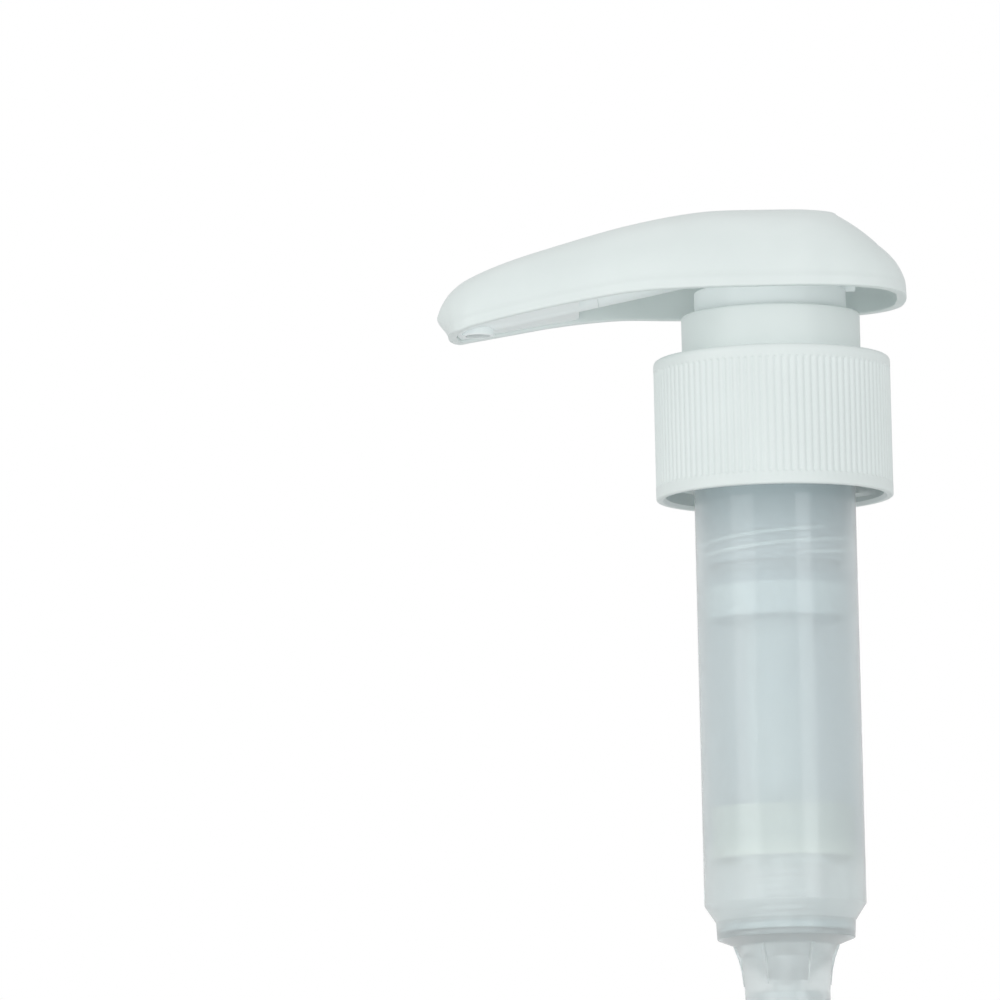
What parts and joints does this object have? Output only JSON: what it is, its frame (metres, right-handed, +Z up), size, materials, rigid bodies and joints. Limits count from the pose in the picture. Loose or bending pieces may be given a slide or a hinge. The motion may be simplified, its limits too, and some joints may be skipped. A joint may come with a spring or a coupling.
{
  "type": "condiment pump dispenser",
  "caption": "Hand pump for condiments with a locking spout head, ribbed screw cap, translucent piston barrel, return spring, ball valves and a dip tube.",
  "frame": {"origin": "centre of the gasket's sealing face, which rests on the rim of the container's neck", "axes": "+Z up along the pump's axis, the spout points to -X, +Y completes the right-handed frame"},
  "size_m": [0.0823, 0.0414, 0.2154],
  "materials": {
    "white_plastic": "semi-gloss moulded polypropylene",
    "frosted_plastic": "translucent moulded polypropylene, frosted",
    "soft_plastic": "natural polyethylene, satin",
    "steel": "bright stainless steel"
  },
  "bodies": {
    "pump_body": {"pump_housing": "frosted_plastic", "lock_collar": "white_plastic", "stem_guide": "white_plastic", "gasket": "soft_plastic", "dip_tube": "frosted_plastic", "ball_cage": "soft_plastic", "return_spring": "steel"},
    "screw_cap": {"cap": "white_plastic"},
    "plunger": {"piston": "soft_plastic"},
    "head": {"head_cover": "white_plastic", "spout_base": "white_plastic", "spout_insert": "white_plastic", "stem": "white_plastic", "piston_seat": "white_plastic"},
    "inlet_valve": {"inlet_ball": "steel"},
    "discharge_valve": {"discharge_ball": "steel"}
  },
  "joints": [
    {"name": "cap_spin", "type": "hinge", "parent": "pump_body", "child": "screw_cap", "pos_m": [0, 0, 0], "axis": [0, 0, 1], "continuous": true},
    {"name": "pump_stroke", "type": "slide", "parent": "pump_body", "child": "plunger", "axis": [0, 0, 1], "range_m": [0, 0.0325], "deforming": ["return_spring"]},
    {"name": "head_swivel", "type": "hinge", "parent": "plunger", "child": "head", "pos_m": [0, 0, 0], "axis": [0, 0, 1], "continuous": true},
    {"name": "inlet_valve_lift", "type": "slide", "parent": "pump_body", "child": "inlet_valve", "axis": [0, 0, 1], "range_m": [0, 0.0022]},
    {"name": "discharge_valve_lift", "type": "slide", "parent": "head", "child": "discharge_valve", "axis": [0, 0, 1], "range_m": [0, 0.0021]}
  ]
}
